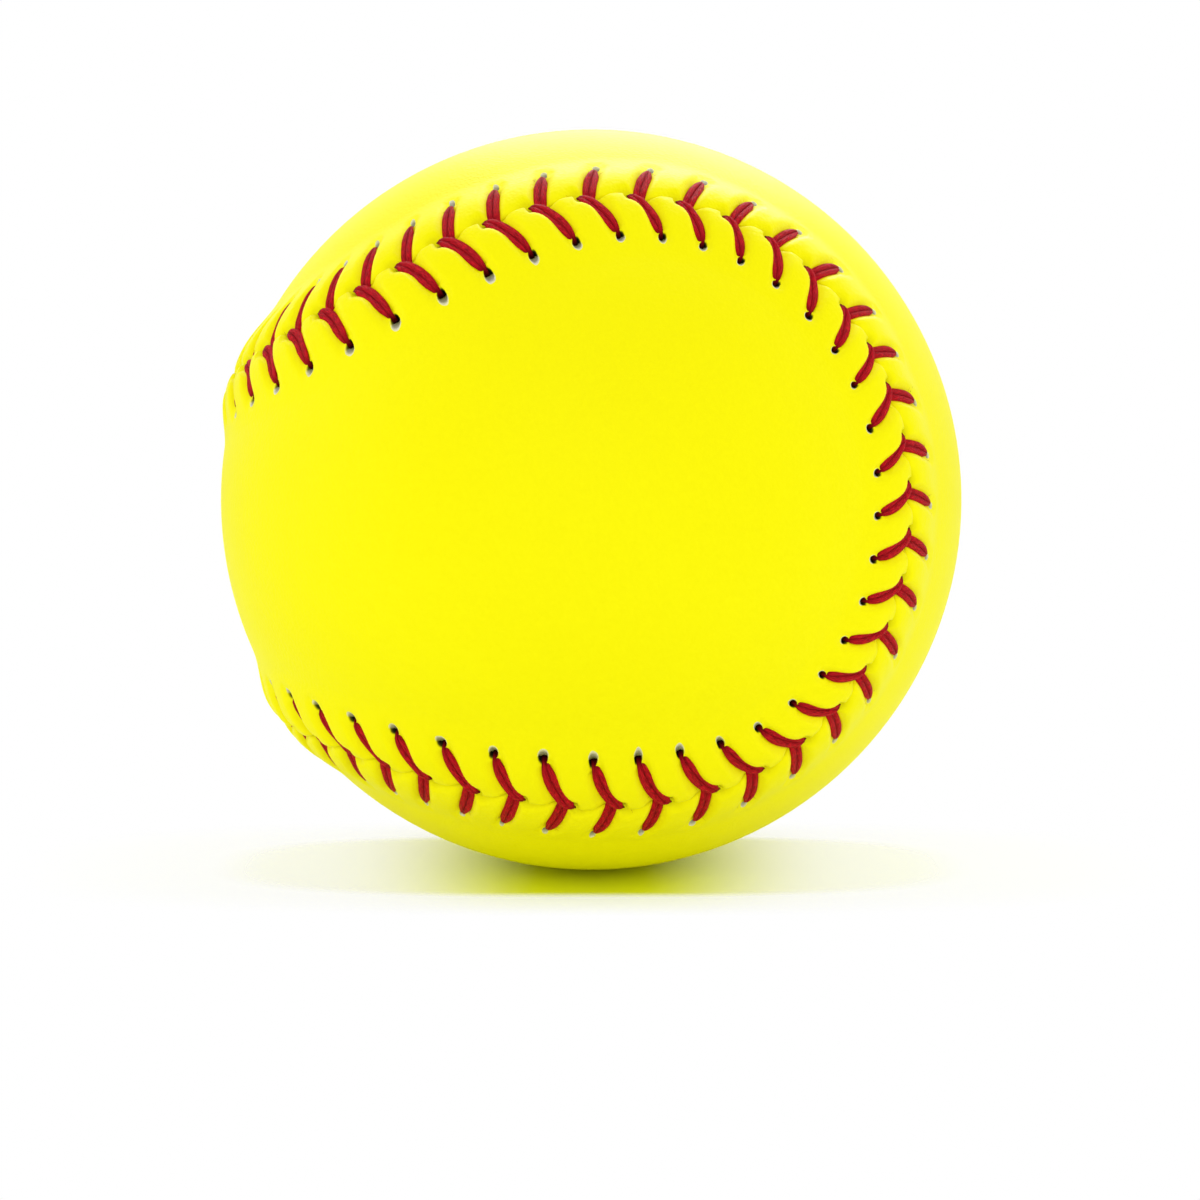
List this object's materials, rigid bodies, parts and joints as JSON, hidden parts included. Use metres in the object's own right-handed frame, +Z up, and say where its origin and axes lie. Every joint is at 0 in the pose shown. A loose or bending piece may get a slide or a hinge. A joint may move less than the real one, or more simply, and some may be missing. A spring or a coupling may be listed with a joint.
{
  "type": "training softball",
  "caption": "Round yellow softball with a foam core, a two-panel leather cover and raised red lacing, for throwing, batting and pitching practice.",
  "frame": {"origin": "centre of the ball", "axes": "+Z up as the ball lies in the picture, -Y towards the viewer, +X to the viewer's right; the ball is near enough round to be symmetric about +Z"},
  "size_m": [0.0981, 0.0966, 0.0966],
  "materials": {
    "foam_core": "moulded polyurethane foam with a fine closed skin",
    "contact_cement": "dried amber contact cement",
    "cover_leather": "optic yellow synthetic leather, fine grain, satin",
    "waxed_thread": "crimson plied thread, waxed"
  },
  "bodies": {
    "root": {"core": "foam_core", "cement_film_front": "contact_cement", "cement_film_back": "contact_cement", "cover_panel_front": "cover_leather", "cover_panel_back": "cover_leather", "lacing_thread_first": "waxed_thread", "lacing_thread_second": "waxed_thread"}
  },
  "joints": []
}
